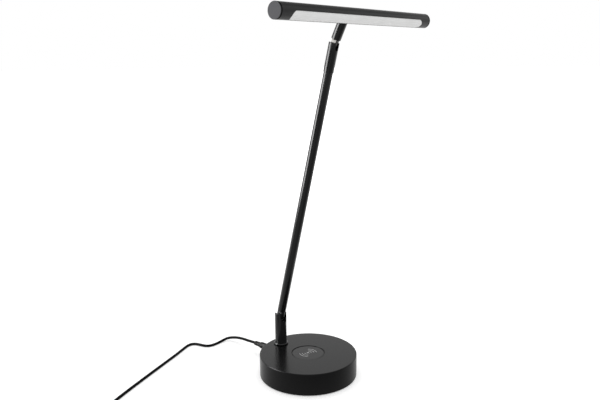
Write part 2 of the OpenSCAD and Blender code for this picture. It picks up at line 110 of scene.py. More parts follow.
def placeOf(values):
    lean = math.radians(values["poleLean"])
    lower = Vector((0, values["postBack"], values["pivotZ"])) * mm
    upper = lower + Vector((0, -math.sin(lean), math.cos(lean))) * values["armLength"] * mm
    bar = upper + Vector((0, -values["barForward"], values["barUp"])) * mm
    return {
        "base": Matrix.Identity(4),
        "post": shift(0, values["postBack"], values["baseHeight"]),
        "pole": Matrix.Translation(lower) @ tilt(values["poleLean"]),
        "upper": Matrix.Translation(upper) @ tilt(values["poleLean"]),
        "neck": Matrix.Translation(upper) @ tilt(values["neckLean"]),
        "barAlong": Matrix.Translation(bar) @ tilt(-values["openTurn"]) @ turnY,
        "plug": shift(0, values["baseRadius"] + values["plugGap"], values["plugUp"]) @ tilt(-90),
    }


place = placeOf(lampValues)


def addObject(mesh, name):
    data = bpy.data.meshes.new(name)
    mesh.to_mesh(data)
    mesh.free()
    thing = bpy.data.objects.new(name, data)
    scene.collection.objects.link(thing)
    return thing


# a finished bmesh becomes an object whose place is in its mesh
def addPiece(mesh, name, where, body, slot, *replaced, sharp=35):
    mesh.transform(where)
    piece = addObject(mesh, name)
    piece.data.polygons.foreach_set("use_smooth", [True] * len(piece.data.polygons))
    piece.data.set_sharp_from_angle(angle=math.radians(sharp))
    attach(piece, body)
    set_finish(piece, slot)
    if replaced:
        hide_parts(*replaced)
    return piece


# (radius, height) points, turned round Z
def spinProfile(profile, segments=96, closed=False):
    mesh = bmesh.new()
    points = [mesh.verts.new((r * mm, 0, z * mm)) for r, z in profile]
    pairs = list(zip(points, points[1:])) + ([(points[-1], points[0])] if closed else [])
    edges = [mesh.edges.new(pair) for pair in pairs]
    bmesh.ops.spin(
        mesh, geom=points + edges, cent=(0, 0, 0), axis=(0, 0, 1), angle=2 * math.pi,
        steps=segments, use_merge=True,
    )
    bmesh.ops.remove_doubles(mesh, verts=mesh.verts, dist=1e-7)
    bmesh.ops.recalc_face_normals(mesh, faces=mesh.faces)
    return mesh


def rod(radius, low, high, segments=96):
    return spinProfile([(0, low), (radius, low), (radius, high), (0, high)], segments)


def ring(inner, outer, low, high, segments=96):
    profile = [(inner, low), (outer, low), (outer, high), (inner, high)]
    return spinProfile(profile, segments, closed=True)


# rounds the edges that pick() takes
def softenEdges(mesh, width, segments=3, angle=35, pick=lambda edge: True):
    edges = [
        e for e in mesh.edges
        if len(e.link_faces) == 2 and e.calc_face_angle(0) > math.radians(angle) and pick(e)
    ]
    bmesh.ops.bevel(
        mesh, geom=edges, offset=width * mm, offset_type="OFFSET", segments=segments,
        profile=0.5, affect="EDGES", clamp_overlap=True, material=-1,
    )
    return mesh


slack, margin = 0.1, 1  # how far past a measure a pick still takes an edge


# the picks: by distance from the Z axis and by height
def outside(radius):
    return lambda edge: min(v.co.xy.length for v in edge.verts) > radius * mm


def inside(radius):
    return lambda edge: max(v.co.xy.length for v in edge.verts) < radius * mm


def above(z):
    return lambda edge: edge.verts[0].co.z > z * mm


def below(z):
    return lambda edge: edge.verts[0].co.z < z * mm


def bothOf(first, second):
    return lambda edge: first(edge) and second(edge)


def drawOut(mesh, face, height):
    drawn = bmesh.ops.extrude_face_region(mesh, geom=[face])["geom"]
    top = [v for v in drawn if isinstance(v, bmesh.types.BMVert)]
    bmesh.ops.translate(mesh, vec=(0, 0, height), verts=top)


# an outline of (x, y) points, drawn out along Z
def prism(outline, low, high):
    mesh = bmesh.new()
    face = mesh.faces.new([mesh.verts.new((x * mm, y * mm, low * mm)) for x, y in outline])
    drawOut(mesh, face, (high - low) * mm)
    bmesh.ops.recalc_face_normals(mesh, faces=mesh.faces)
    return mesh


def arcPoints(x, y, radius, start, end, steps=12):
    turn = [math.radians(start + (end - start) * i / steps) for i in range(steps + 1)]
    return [(x + radius * math.cos(a), y + radius * math.sin(a)) for a in turn]


# cuts, joins or keeps what is common, one tool after the other
def carve(mesh, *steps):
    target = addObject(mesh, "carve")
    tools = []
    for operation, tool in steps:
        tools.append(addObject(tool, "carve"))
        cut = target.modifiers.new("cut", "BOOLEAN")
        cut.operation, cut.solver, cut.object = operation, "EXACT", tools[-1]
    bpy.context.view_layer.update()
    result = bmesh.new()
    result.from_object(target, bpy.context.evaluated_depsgraph_get())
    for thing in [target, *tools]:
        data = thing.data
        bpy.data.objects.remove(thing)
        bpy.data.meshes.remove(data)
    bmesh.ops.remove_doubles(result, verts=result.verts, dist=1e-7)
    return result


def moved(mesh, matrix):
    mesh.transform(matrix)
    return mesh


throughCut = 20  # half the length of a tool that goes right through
overTop = 10  # how far a slot's tool stands above what it cuts


# a slot with a round bottom, from the top down
def slotTool(width, low, top):
    half = width / 2
    outline = arcPoints(0, low + half, half, 180, 360, 24)
    outline += [(half, top + overTop), (-half, top + overTop)]
    return moved(prism(outline, -throughCut, throughCut), turnX)


cordValues = {
    "diameter": 3.9,
    "sides": 12,
    # the same points as in the CAD source
    "route": [
        (0, 99.5, 16.2), (0, 106, 16.1), (2, 116, 14.5), (5, 127, 12.5), (8, 139, 10),
        (9, 148, 8), (8.5, 156.5, 6), (5.5, 162.5, 4.5), (0, 165, 3.2), (-8, 165.5, 2.3),
        (-16, 165.5, 2), (-24, 166.5, 2), (-29, 169, 2), (-32.5, 174.5, 2), (-34, 181, 2),
        (-36, 188, 2), (-40, 192.5, 2), (-47, 193.5, 2), (-57, 190.5, 2), (-79, 182.5, 2),
        (-99, 176, 2), (-142, 162, 2), (-184, 148, 2), (-212, 138, 2), (-237, 127.5, 2.7),
        (-249.5, 122, 3.2), (-257, 119, 3.2),
    ],
    "pointGap": 3,
    "coilStart": 112,
    "coilInner": 16.5,
    "coilStep": 5,
    "spiralTurns": 1.69,
    "climbTurns": 0.5,
    "layers": 4,
    "coilLow": 3.2,
    "lead": 5,
    "pointsATurn": 36,
    "tailDrops": [0, 0, 2.2, 6.6, 11, 13.6, 14.2, 14.2],
    "tailStep": 8,
}


def smoothPath(points, gap):
    path = []
    last = len(points) - 1
    for i in range(last):
        a, b = points[max(i - 1, 0)], points[i]
        c, d = points[i + 1], points[min(i + 2, last)]
        steps = max(1, round((c - b).length / gap))
        for k in range(steps):
            t = k / steps
            path.append(
                (2 * b + (c - a) * t + (2 * a - 5 * b + 4 * c - d) * t * t
                 + (3 * b - a - 3 * c + d) * t ** 3) / 2
            )
    return path + [points[last]]


# flat spirals on each other, inwards and outwards in turn, and the loose end after them
def coilPath(values, entry):
    inner, step, turns = values["coilInner"], values["coilStep"], values["spiralTurns"]
    layers, climbTurns = values["layers"], values["climbTurns"]
    outer = inner + turns * step
    start = math.radians(values["coilStart"])
    total = layers * turns + (layers - 1) * climbTurns
    heading = lambda a: Vector((-math.sin(a), math.cos(a), 0))
    begin = entry + values["lead"] * heading(start)
    middle = begin - outer * Vector((math.cos(start), math.sin(start), 0))
    path = [entry]
    count = round(values["pointsATurn"] * total)
    for i in range(count + 1):
        u = total * i / count
        layer = min(int(u / (turns + climbTurns)), layers - 1)
        v = u - layer * (turns + climbTurns)
        along = min(v / turns, 1)
        radius = outer - along * turns * step if layer % 2 == 0 else inner + along * turns * step
        climb = max(0, (v - turns) / climbTurns)
        z = values["coilLow"] + step * (layer + (1 - math.cos(math.pi * climb)) / 2)
        angle = start + 2 * math.pi * u
        x, y = middle.x + radius * math.cos(angle), middle.y + radius * math.sin(angle)
        path.append(Vector((x, y, z)))
    finish = start + 2 * math.pi * total
    leave = path[-1] + values["lead"] * heading(finish)
    tail = [
        leave + i * values["tailStep"] * heading(finish) - Vector((0, 0, drop))
        for i, drop in enumerate(values["tailDrops"])
    ]
    return path, tail


# rings round the path's points, turned as little as possible from one to the next
def tubeAlong(path, radius, sides):
    mesh = bmesh.new()
    heading = (path[1] - path[0]).normalized()
    side = heading.orthogonal().normalized()
    angles = [2 * math.pi * k / sides for k in range(sides)]
    rings = []
    for i, point in enumerate(path):
        ahead = (path[min(i + 1, len(path) - 1)] - path[max(i - 1, 0)]).normalized()
        side = (heading.rotation_difference(ahead) @ side).normalized()
        heading = ahead
        across = heading.cross(side)
        spots = [point + radius * (side * math.cos(a) + across * math.sin(a)) for a in angles]
        rings.append([mesh.verts.new(spot) for spot in spots])
    for low, high in zip(rings, rings[1:]):
        for k in range(sides):
            mesh.faces.new((low[k], low[(k + 1) % sides], high[(k + 1) % sides], high[k]))
    mesh.faces.new(list(reversed(rings[0])))
    mesh.faces.new(rings[-1])
    return mesh


def makeCord(values):
    route = smoothPath([Vector(p) for p in values["route"]], values["pointGap"])
    coil, tail = coilPath(values, Vector(values["route"][-1]))
    path = [point * mm for point in route[:-1] + coil + smoothPath(tail, values["pointGap"])]
    tube = tubeAlong(path, values["diameter"] / 2 * mm, values["sides"])
    cord = addPiece(tube, "cord", Matrix.Identity(4), "base", "cord",
                    "cord_run", "cord_coil", "cord_tail", sharp=60)
    return cord


cord = makeCord(cordValues)

signValues = {
    "thick": 0.06,
    "bolt": [(0.4, 2.8), (-1.8, -0.4), (-0.35, -0.4), (-0.4, -2.8), (1.8, 0.4), (0.35, 0.4)],
    "arcRadii": (4.6, 8.1, 11.6),
    "arcWidth": 0.75,
    "arcHalf": 40,
    "steps": 16,
}


def makeSign(values):
    mesh = bmesh.new()
    reach, steps, half = values["arcHalf"], values["steps"], values["arcWidth"] / 2
    outlines = [[Vector((x, y, 0)) for x, y in values["bolt"]]]
    for side in (0, 180):
        angles = [math.radians(side - reach + 2 * reach * i / steps) for i in range(steps + 1)]
        along = [Vector((math.cos(a), math.sin(a), 0)) for a in angles]
        for radius in values["arcRadii"]:
            outer = [point * (radius + half) for point in along]
            inner = [point * (radius - half) for point in reversed(along)]
            outlines.append(outer + inner)
    for outline in outlines:
        drawOut(mesh, mesh.faces.new([mesh.verts.new(p) for p in outline]), values["thick"])
    bmesh.ops.recalc_face_normals(mesh, faces=mesh.faces)
    bmesh.ops.scale(mesh, vec=(mm, mm, mm), verts=mesh.verts)
    return addPiece(mesh, "chargeSign", shift(0, 0, lampValues["padTop"]), "base", "pad")


chargeSign = makeSign(signValues)

baseValues = {
    "wall": 2.5,
    "ceiling": 26.5,
    "low": 1,
    "lowRing": 2,
    "edge": 0.8,
    "lowEdge": 0.7,
    "seatRadius": 22.45,
    "seatFloor": 28.05,
    "seatEdge": 0.1,
    "flatRing": 0.4,  # the extra rings beside the edges keep the wide faces flat
    "padRadius": 21.5,  # with a thin dark gap to its seat
    "padThick": 1.4,
    "padEdge": 0.2,
    "padRing": 0.6,
    "studHole": (5.15, 20, 40),  # a hole's radius, low and high
    "plugHole": (3.35, -8, 8),
}


def makeBase(values):
    r, h = lampValues["baseRadius"], lampValues["baseHeight"]
    inner, low, ceiling = r - values["wall"], values["low"], values["ceiling"]
    seat, floor, flat = values["seatRadius"], values["seatFloor"], values["flatRing"]
    near, lowRing = values["edge"] + flat, values["lowRing"]
    shell = spinProfile(
        [(0, floor), (seat, floor), (seat, h), (seat + flat, h), (r - near, h), (r, h),
         (r, h - near), (r, lowRing), (r, low), (inner, low), (inner, ceiling), (0, ceiling)],
        segments=180,
    )
    rim, mouth = outside(r - margin), bothOf(inside(seat + slack), above(h - margin))
    softenEdges(shell, values["edge"], 6, pick=bothOf(rim, above(h / 2)))
    softenEdges(shell, values["lowEdge"], 2, pick=bothOf(rim, below(lowRing)))
    softenEdges(shell, values["seatEdge"], 2, pick=mouth)
    stud = moved(rod(*values["studHole"], 48), shift(0, lampValues["postBack"], 0))
    plug = moved(rod(*values["plugHole"], 48), shift(0, r, lampValues["plugUp"]) @ turnX)
    shell = carve(shell, ("DIFFERENCE", stud), ("DIFFERENCE", plug))
    return addPiece(shell, "baseShell", place["base"], "base", "housing", "base_housing")


def makePad(values):
    r, top = values["padRadius"], lampValues["padTop"]
    low, flat = top - values["padThick"], r - values["padRing"]
    disc = spinProfile([(0, low), (r, low), (r, top), (flat, top), (0, top)], 120)
    softenEdges(disc, values["padEdge"], 2)
    return addPiece(disc, "chargePad", place["base"], "base", "pad", "charging_pad")


footValues = {
    "radius": 61.5,
    "thick": 1,
    "edge": 0.2,
    "grooves": 6,
    "grooveGap": 8,
    "groove": [(0, 0), (0.4, 0.3), (1.2, 0.3), (1.6, 0)],  # outwards and up
}


def makeFootPad(values):
    r, thick = values["radius"], values["thick"]
    profile = [(0, 0)]
    for i in range(values["grooves"]):
        start = values["grooveGap"] * (i + 1)
        profile += [(start + out, up) for out, up in values["groove"]]
    disc = spinProfile(profile + [(r, 0), (r, thick), (0, thick)], 120)
    softenEdges(disc, values["edge"], 2, angle=60)
    return addPiece(disc, "gripPad", place["base"], "base", "foot", "foot_pad")


baseShell = makeBase(baseValues)
chargePad = makePad(baseValues)
gripPad = makeFootPad(footValues)
print("base made")

postValues = {
    "radius": 8,
    "low": 0.15,  # post and collar stand this much clear of the base
    "height": 46,
    "slot": 12.2,
    "slotLow": 32.7,
    "rim": 0.6,
    "wireHole": (2.5, -1, 46),
    "headHole": (2.65, 6.85, 12),
    "collar": (8.15, 10, 2.4),  # inner and outer radius, height
    "collarRound": 1.1,
}


def makePost(values):
    h = values["height"]
    post = rod(values["radius"], values["low"], h)
    softenEdges(post, values["rim"], 4, pick=above(h / 2))
    slot = slotTool(values["slot"], values["slotLow"], h)
    pivot = lampValues["pivotZ"] - lampValues["baseHeight"]
    head = moved(rod(*values["headHole"], 32), shift(0, 0, pivot) @ turnY)
    wires = rod(*values["wireHole"], 32)
    post = carve(post, ("DIFFERENCE", slot), ("DIFFERENCE", head), ("DIFFERENCE", wires))
    return addPiece(post, "slottedPost", place["post"], "base", "painted", "post")


def makeCollar(values):
    inner, outer, h = values["collar"]
    collar = ring(inner, outer, values["low"], h + values["low"])
    softenEdges(collar, values["collarRound"], 6, pick=outside(outer - slack))
    return addPiece(collar, "postCollar", place["post"], "base", "painted", "collar_ring")


poleValues = {
    "outer": 5.8,
    "inner": 4.9,
    "low": 9,
    "high": 368.35,
    "edge": 0.35,
    "sleeveRadius": 6.4,
    "sleeveLength": 36,
    "sleeveTop": 3,
    "sleeveBore": 5.95,
    "stopGap": 0.15,
    "slot": 6,
    "slotDepth": 9,
    "rim": 0.4,
    "headHole": (2.25, 5.25, 9),
}


def makeThinTube(values, name, where, body, node):
    tube = ring(values["inner"], values["outer"], values["low"], values["high"], 72)
    softenEdges(tube, values["edge"], 3)
    return addPiece(tube, name, where, body, "painted", node)


def makeSleeve(values):
    r, top, bore = values["sleeveRadius"], values["sleeveTop"], values["sleeveBore"]
    low = top - values["sleeveLength"]
    stop = values["high"] - lampValues["armLength"] + values["stopGap"]
    sleeve = spinProfile([(0, stop), (bore, stop), (bore, low), (r, low), (r, top), (0, top)])
    softenEdges(sleeve, values["rim"], 4, pick=outside(r - slack))
    slot = slotTool(values["slot"], top - values["slotDepth"], top)
    head = moved(rod(*values["headHole"], 32), turnY)
    sleeve = carve(sleeve, ("DIFFERENCE", slot), ("DIFFERENCE", head))
    return addPiece(sleeve, "slottedSleeve", place["upper"], "arm", "painted", "sleeve")


tongueValues = {
    "poleFoot": {
        "eye": 5.2, "half": 4.2, "turned": 5.5, "start": 9, "shank": 4.75, "length": 14,
        "pin": (1.55, -9, 9), "edge": 0.4,
    },
    "headKnuckle": {
        "eye": 3.6, "half": 2.85, "turned": 4.45, "start": 7.4, "shank": 4.9, "length": 14,
        "pin": (1.3, -9, 9), "edge": 0.35,
    },
}
# the flange of both tongues: how far below the tube's end, and how much wider than the eye
flangeValues = {"low": 0.6, "sunk": 0.4, "high": 0.1, "wider": 0.3, "edge": 0.12}
# an outline's x and y become Y and Z, and its height X
acrossX = Matrix(((0, 0, 1, 0), (1, 0, 0, 0), (0, 1, 0, 0), (0, 0, 0, 1)))


# a turned bar with two flats and a rounded eye, then a flange and a round shank in the tube
def makeTongue(name, where, body, slot, node):
    values = tongueValues[name]
    eye, half, start = values["eye"], values["half"], values["start"]
    sunk = start - flangeValues["sunk"]
    outline = arcPoints(0, 0, eye, 180, 360, 32) + [(eye, sunk), (-eye, sunk)]
    turned = rod(values["turned"], -throughCut, throughCut)
    pin = moved(rod(*values["pin"], 32), turnY)
    flats = moved(prism(outline, -half, half), acrossX)
    tongue = carve(flats, ("INTERSECT", turned), ("DIFFERENCE", pin))
    atEye = lambda edge: max(v.co.yz.length for v in edge.verts) > (eye - slack) * mm
    softenEdges(tongue, values["edge"], 3, angle=60, pick=atEye)
    wide, thin, top = eye + flangeValues["wider"], values["shank"], start + values["length"]
    low, high = start - flangeValues["low"], start - flangeValues["high"]
    shank = spinProfile(
        [(0, low), (wide, low), (wide, high), (thin, high), (thin, top), (0, top)], 64,
    )
    softenEdges(shank, flangeValues["edge"], 2, angle=60)
    data = bpy.data.meshes.new("shank")
    shank.to_mesh(data)
    shank.free()
    tongue.from_mesh(data)
    bpy.data.meshes.remove(data)
    return addPiece(tongue, name, where, body, slot, node)


slottedPost = makePost(postValues)
postCollar = makeCollar(postValues)
poleTube = makeThinTube(poleValues, "poleTube", place["pole"], "arm", "pole")
slottedSleeve = makeSleeve(poleValues)
poleFoot = makeTongue("poleFoot", place["pole"], "arm", "dark_steel", "pole_foot")
headKnuckle = makeTongue("headKnuckle", place["neck"], "head", "bare_metal", "knuckle")
print("post and pole made")

neckValues = {
    "outer": 5.95,
    "inner": 5.05,
    "low": 7.4,
    "high": 38.5,
    "edge": 0.35,
    "cap": (38.65, 39.85, 0.8),  # low, high and how far its edge is rounded
}


def makeNeckCap(values):
    low, high, edge = values["cap"]
    disc = rod(values["outer"], low, high, 72)
    softenEdges(disc, edge, 5, pick=above((low + high) / 2))
    return addPiece(disc, "neckCap", place["neck"], "head", "black_parts", "neck_cap")


barValues = {
    "radius": 9,
    "bore": 7.8,
    "half": 142.7,
    "end": 145,
    "disc": 1,
    "capEdge": 0.25,
    "capRing": 0.7,
    "spigot": 7.65,
    "spigotIn": 135.7,
    "openHalf": 120.3,
    "openWidth": 13.4,
    "lensRadius": 8.65,
    "lensInner": 6.75,
    "lensFlange": 7.65,
    "lensHalf": 135.55,
    "flangeTop": -0.95,
    "gap": 0.15,
}


def stadium(half, width):
    r = width / 2
    return arcPoints(half, 0, r, -90, 90, 24) + arcPoints(-half, 0, r, 90, 270, 24)


# an outline on the bar's open side, up to a height
def openTool(outline, top):
    return moved(prism(outline, -throughCut, top), turnY.inverted())


def makeBarTube(values):
    tube = ring(values["bore"], values["radius"], -values["half"], values["half"], 128)
    opening = openTool(stadium(values["openHalf"], values["openWidth"]), 0)
    tube = carve(tube, ("DIFFERENCE", opening))
    return addPiece(tube, "barTube", place["barAlong"], "head", "bar", "bar_tube")


def makeCap(values, name, flip, node):
    r, end, spigot, start = values["radius"], values["end"], values["spigot"], values["spigotIn"]
    face, flat = end - values["disc"], r - values["capRing"]
    cap = spinProfile([(0, start), (spigot, start), (spigot, face), (r, face), (r, end),
                       (flat, end), (0, end)])
    softenEdges(cap, values["capEdge"], 3, pick=outside(r - slack))
    turned = place["barAlong"] @ Matrix.Rotation(flip, 4, "Y")
    return addPiece(cap, name, turned, "head", "cap", node)


# the part that shows in the opening, and the flanges that hold it behind the opening's edge
def makeDiffuser(values):
    inner, half, top = values["lensInner"], values["lensHalf"], values["flangeTop"]
    land = ring(inner, values["lensRadius"], -half, half, 128)
    outline = stadium(values["openHalf"], values["openWidth"] - 2 * values["gap"])
    land = carve(land, ("INTERSECT", openTool(outline, top)))
    flange = ring(inner, values["lensFlange"], -half, half, 128)
    box = [(-half, -throughCut), (half, -throughCut), (half, throughCut), (-half, throughCut)]
    flange = carve(flange, ("INTERSECT", openTool(box, top)))
    lens = carve(land, ("UNION", flange))
    return addPiece(lens, "lensStrip", place["barAlong"], "head", "diffuser", "diffuser")


neckTube = makeThinTube(neckValues, "neckTube", place["neck"], "head", "neck")
neckCap = makeNeckCap(neckValues)
barTube = makeBarTube(barValues)
capLeft = makeCap(barValues, "capLeft", math.pi, "end_cap_left")
capRight = makeCap(barValues, "capRight", 0, "end_cap_right")
lensStrip = makeDiffuser(barValues)
print("neck and bar made")

plugValues = {
    "radius": 4.6,
    "length": 22.4,
    "nearEdge": 0.5,
    "farEdge": 1,
    "relief": {
        "start": 22.55,
        "thick": 3.6,
        "thin": 3.1,
        "length": 11.2,
        "grooves": 3,
        "firstGroove": 0.44,  # as a share of the length, like the step
        "grooveStep": 0.17,
        "groove": 0.6,
        "grooveSlope": 0.1,
        "depth": 0.45,
        "tip": 0.6,
    },
}


def makePlug(values):
    length = values["length"]
    body = rod(values["radius"], 0, length, 64)
    softenEdges(body, values["nearEdge"], 3, pick=below(margin))
    softenEdges(body, values["farEdge"], 5, pick=above(length - margin))
    return addPiece(body, "plugBody", place["plug"], "base", "plug", "plug_body")


# a tapered sleeve with grooves, from its thick end
def makeRelief(values):
    thick, thin, length, tip = values["thick"], values["thin"], values["length"], values["tip"]
    profile = [(0, 0), (thick, 0)]
    for i in range(values["grooves"]):
        z = length * (values["firstGroove"] + values["grooveStep"] * i)
        outer = thick + (thin - thick) * z / length
        inner, slope = outer - values["depth"], values["grooveSlope"]
        profile += [(outer, z), (inner, z + slope), (inner, z + values["groove"]),
                    (outer, z + values["groove"] + slope)]
    profile += arcPoints(thin - tip, length - tip, tip, 0, 90, 5) + [(0, length)]
    where = place["plug"] @ shift(0, 0, values["start"])
    return addPiece(spinProfile(profile, 48), "strainRelief", where, "base", "plug",
                    "strain_relief")


plugBody = makePlug(plugValues)
strainRelief = makeRelief(plugValues["relief"])
print("plug made")


def newGroup(name, inputs, outputs):
    group = bpy.data.node_groups.new(name, "ShaderNodeTree")
    for title, kind, value in inputs:
        socket = group.interface.new_socket(name=title, in_out="INPUT", socket_type=kind)
        if value is not None:
            socket.default_value = value
    for title, kind in outputs:
        group.interface.new_socket(name=title, in_out="OUTPUT", socket_type=kind)
    return group, group.nodes.new("NodeGroupInput"), group.nodes.new("NodeGroupOutput")


def newMaterial(name):
    material = bpy.data.materials.new(name)
    material.use_nodes = True
    return material, material.node_tree, material.node_tree.nodes["Principled BSDF"]


def mapRange(tree, value, before, after):
    node = tree.nodes.new("ShaderNodeMapRange")
    node.inputs["From Min"].default_value, node.inputs["From Max"].default_value = before
    node.inputs["To Min"].default_value, node.inputs["To Max"].default_value = after
    tree.links.new(value, node.inputs["Value"])
    return node.outputs["Result"]


# given are sockets to link or plain numbers
def mathNode(tree, operation, *given):
    node = tree.nodes.new("ShaderNodeMath")
    node.operation = operation
    for socket, value in zip(node.inputs, given):
        if isinstance(value, bpy.types.NodeSocket):
            tree.links.new(value, socket)
        else:
            socket.default_value = value
    return node.outputs[0]


# how far a point lies along a direction
def alongNode(tree, where, direction):
    node = tree.nodes.new("ShaderNodeVectorMath")
    node.operation = "DOT_PRODUCT"
    node.inputs[1].default_value = direction
    tree.links.new(where, node.inputs[0])
    return node.outputs["Value"]


grainValues = {"fineScale": 3000, "fineDetail": 3, "slowScale": 60, "slowDetail": 2}


# fine bumps of a moulded or sprayed surface, and slow changes of its gloss
def makeGrainGroup(values):
    group, given, out = newGroup(
        "surfaceGrain",
        [("Vector", "NodeSocketVector", None),
         ("Fine Scale", "NodeSocketFloat", values["fineScale"]),
         ("Slow Scale", "NodeSocketFloat", values["slowScale"])],
        [("Height", "NodeSocketFloat"), ("Slow", "NodeSocketFloat")],
    )
    link = group.links.new
    for scale, detail, result in (("Fine Scale", "fineDetail", "Height"),
                                  ("Slow Scale", "slowDetail", "Slow")):
        noise = group.nodes.new("ShaderNodeTexNoise")
        noise.inputs["Detail"].default_value = values[detail]
        link(given.outputs["Vector"], noise.inputs["Vector"])
        link(given.outputs[scale], noise.inputs["Scale"])
        link(noise.outputs["Fac"], out.inputs[result])
    return group


grainGroup = makeGrainGroup(grainValues)

# what a finish has where it says nothing else
plainFinish = {"metal": 0, "specular": 0.5, "slow": 60}
shadeChange = 0.08  # how far a colour goes to both sides

# roughness low and high, bump depth in mm, and the scale of the fine grain
finishes = {
    "housing": {"color": (0.003, 0.003, 0.0032), "specular": 0.27, "rough": (0.2, 0.23),
                "bump": 0.004, "fine": 2600},
    "cover": {"color": (0.014, 0.014, 0.015), "rough": (0.5, 0.6), "bump": 0.03, "fine": 1500},
    "foot": {"color": (0.012, 0.012, 0.012), "rough": (0.75, 0.85), "bump": 0.05, "fine": 900},
    "pad": {"color": (0.003, 0.003, 0.0032), "specular": 0.36, "rough": (0.22, 0.25),
            "bump": 0.002, "fine": 3500},
    "painted": {"color": (0.006, 0.006, 0.0065), "rough": (0.17, 0.22), "bump": 0.01,
                "fine": 2200},
    "bar": {"color": (0.0075, 0.0075, 0.0079), "specular": 0.37, "rough": (0.26, 0.32),
            "bump": 0.01, "fine": 2600},
    # the caps' pale grey is partly their own tone and partly painted light, lighter where their
    # ends face the light
    "cap": {"color": (0.134, 0.134, 0.143), "specular": 0.06, "rough": (0.5, 0.58),
            "bump": 0.01, "fine": 2400},
    "steel": {"color": (0.5, 0.5, 0.51), "rough": (0.25, 0.35), "bump": 0.004, "fine": 2400,
              "metal": 1},
    "dark_steel": {"color": (0.075, 0.075, 0.077), "rough": (0.24, 0.32), "bump": 0.004,
                   "fine": 2400, "metal": 1},
    "bare_metal": {"color": (0.115, 0.112, 0.107), "rough": (0.34, 0.42), "bump": 0.004,
                   "fine": 1800, "metal": 1},
    "ballast": {"color": (0.16, 0.16, 0.165), "rough": (0.5, 0.65), "bump": 0.06, "fine": 700,
                "metal": 1},
    "copper": {"color": (0.62, 0.3, 0.14), "rough": (0.25, 0.35), "bump": 0.01, "fine": 1200,
               "metal": 1},
    "ferrite": {"color": (0.06, 0.055, 0.05), "rough": (0.6, 0.7), "bump": 0.02, "fine": 1500},
    "board": {"color": (0.015, 0.13, 0.05), "rough": (0.35, 0.45), "bump": 0.01, "fine": 800},
    "black_parts": {"color": (0.008, 0.008, 0.0085), "specular": 0.3, "rough": (0.45, 0.55),
                    "bump": 0.02, "fine": 2000},
    "brass": {"color": (0.6, 0.46, 0.2), "rough": (0.25, 0.35), "bump": 0.004, "fine": 1800,
              "metal": 1},
    "diffuser": {"color": (0.9, 0.9, 0.895), "rough": (0.45, 0.55), "bump": 0.01, "fine": 3000},
    "spreader": {"color": (0.6, 0.6, 0.62), "rough": (0.3, 0.4), "bump": 0.01, "fine": 1500,
                 "metal": 1},
    "white_board": {"color": (0.78, 0.78, 0.76), "rough": (0.4, 0.5), "bump": 0.01,
                    "fine": 1500},
    "lamps": {"color": (0.85, 0.7, 0.22), "rough": (0.15, 0.25), "bump": 0.004, "fine": 1500},
    "plug": {"color": (0.003, 0.003, 0.0033), "specular": 0.12, "rough": (0.22, 0.3),
             "bump": 0.012, "fine": 2200},
    "plated": {"color": (0.68, 0.68, 0.68), "rough": (0.12, 0.2), "bump": 0.002, "fine": 1500,
               "metal": 1},
    "cord": {"color": (0.003, 0.003, 0.0033), "specular": 0.05, "rough": (0.4, 0.5),
             "bump": 0.01, "fine": 1600},
    "tie": {"color": (0.014, 0.014, 0.015), "rough": (0.6, 0.7), "bump": 0.03, "fine": 1800},
    "collarGloss": {"color": (0.006, 0.006, 0.0065), "specular": 0.6, "rough": (0.1, 0.13),
                    "bump": 0.003, "fine": 2200},
    "signPrint": {"color": (0.42, 0.42, 0.42), "rough": (0.5, 0.6), "bump": 0.004,
                  "fine": 3000},
}


def makeMaterial(name, given):
    values = {**plainFinish, **given}
    material, tree, shader = newMaterial(name)
    link = tree.links.new
    shader.inputs["Metallic"].default_value = values["metal"]
    shader.inputs["Specular IOR Level"].default_value = values["specular"]
    where = tree.nodes.new("ShaderNodeTexCoord")
    grain = tree.nodes.new("ShaderNodeGroup")
    grain.node_tree = grainGroup
    grain.inputs["Fine Scale"].default_value = values["fine"]
    grain.inputs["Slow Scale"].default_value = values["slow"]
    link(where.outputs["Object"], grain.inputs["Vector"])
    rough = mapRange(tree, grain.outputs["Slow"], (0, 1), values["rough"])
    link(rough, shader.inputs["Roughness"])
    shade = tree.nodes.new("ShaderNodeMixRGB")
    darker = [c * (1 - shadeChange) for c in values["color"]]
    paler = [min(1, c * (1 + shadeChange)) for c in values["color"]]
    shade.inputs["Color1"].default_value = (*darker, 1)
    shade.inputs["Color2"].default_value = (*paler, 1)
    link(grain.outputs["Slow"], shade.inputs["Fac"])
    link(shade.outputs["Color"], shader.inputs["Base Color"])
    bump = tree.nodes.new("ShaderNodeBump")
    bump.inputs["Distance"].default_value = values["bump"] * mm
    link(grain.outputs["Height"], bump.inputs["Height"])
    link(bump.outputs["Normal"], shader.inputs["Normal"])
    return material


materials = {name: makeMaterial(name, values) for name, values in finishes.items()}
slotOf = {s["node"]: s["material_slot"] for s in frame["record"]["subparts"]}


def finishPiece(piece, material):
    piece.data.materials.clear()
    piece.data.materials.append(material)


for name, node in nodes.items():
    finishPiece(node, materials[slotOf[name]])
for piece in (cord, baseShell, chargePad, gripPad, slottedPost, postCollar, poleTube,
              slottedSleeve, poleFoot, headKnuckle, neckTube, neckCap, barTube, capLeft,
              capRight, lensStrip, plugBody, strainRelief):
    finishPiece(piece, materials[piece["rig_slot"]])
finishPiece(chargeSign, materials["signPrint"])
finishPiece(postCollar, materials["collarGloss"])

endFace = 0.9  # a face is on the cap's end if its normal goes this much along the bar
# the caps are pale only on their ends, partly their own grey and partly painted light where the
# ends face the light; the rest of each cap, groove included, takes the dark bar colour, which
# paints shade into the groove
for cap, side in ((capLeft, -1), (capRight, 1)):
    cap.data.materials.append(materials["bar"])
    for face in cap.data.polygons:
        face.material_index = 0 if face.normal.x * side > endFace else 1
print("materials made")

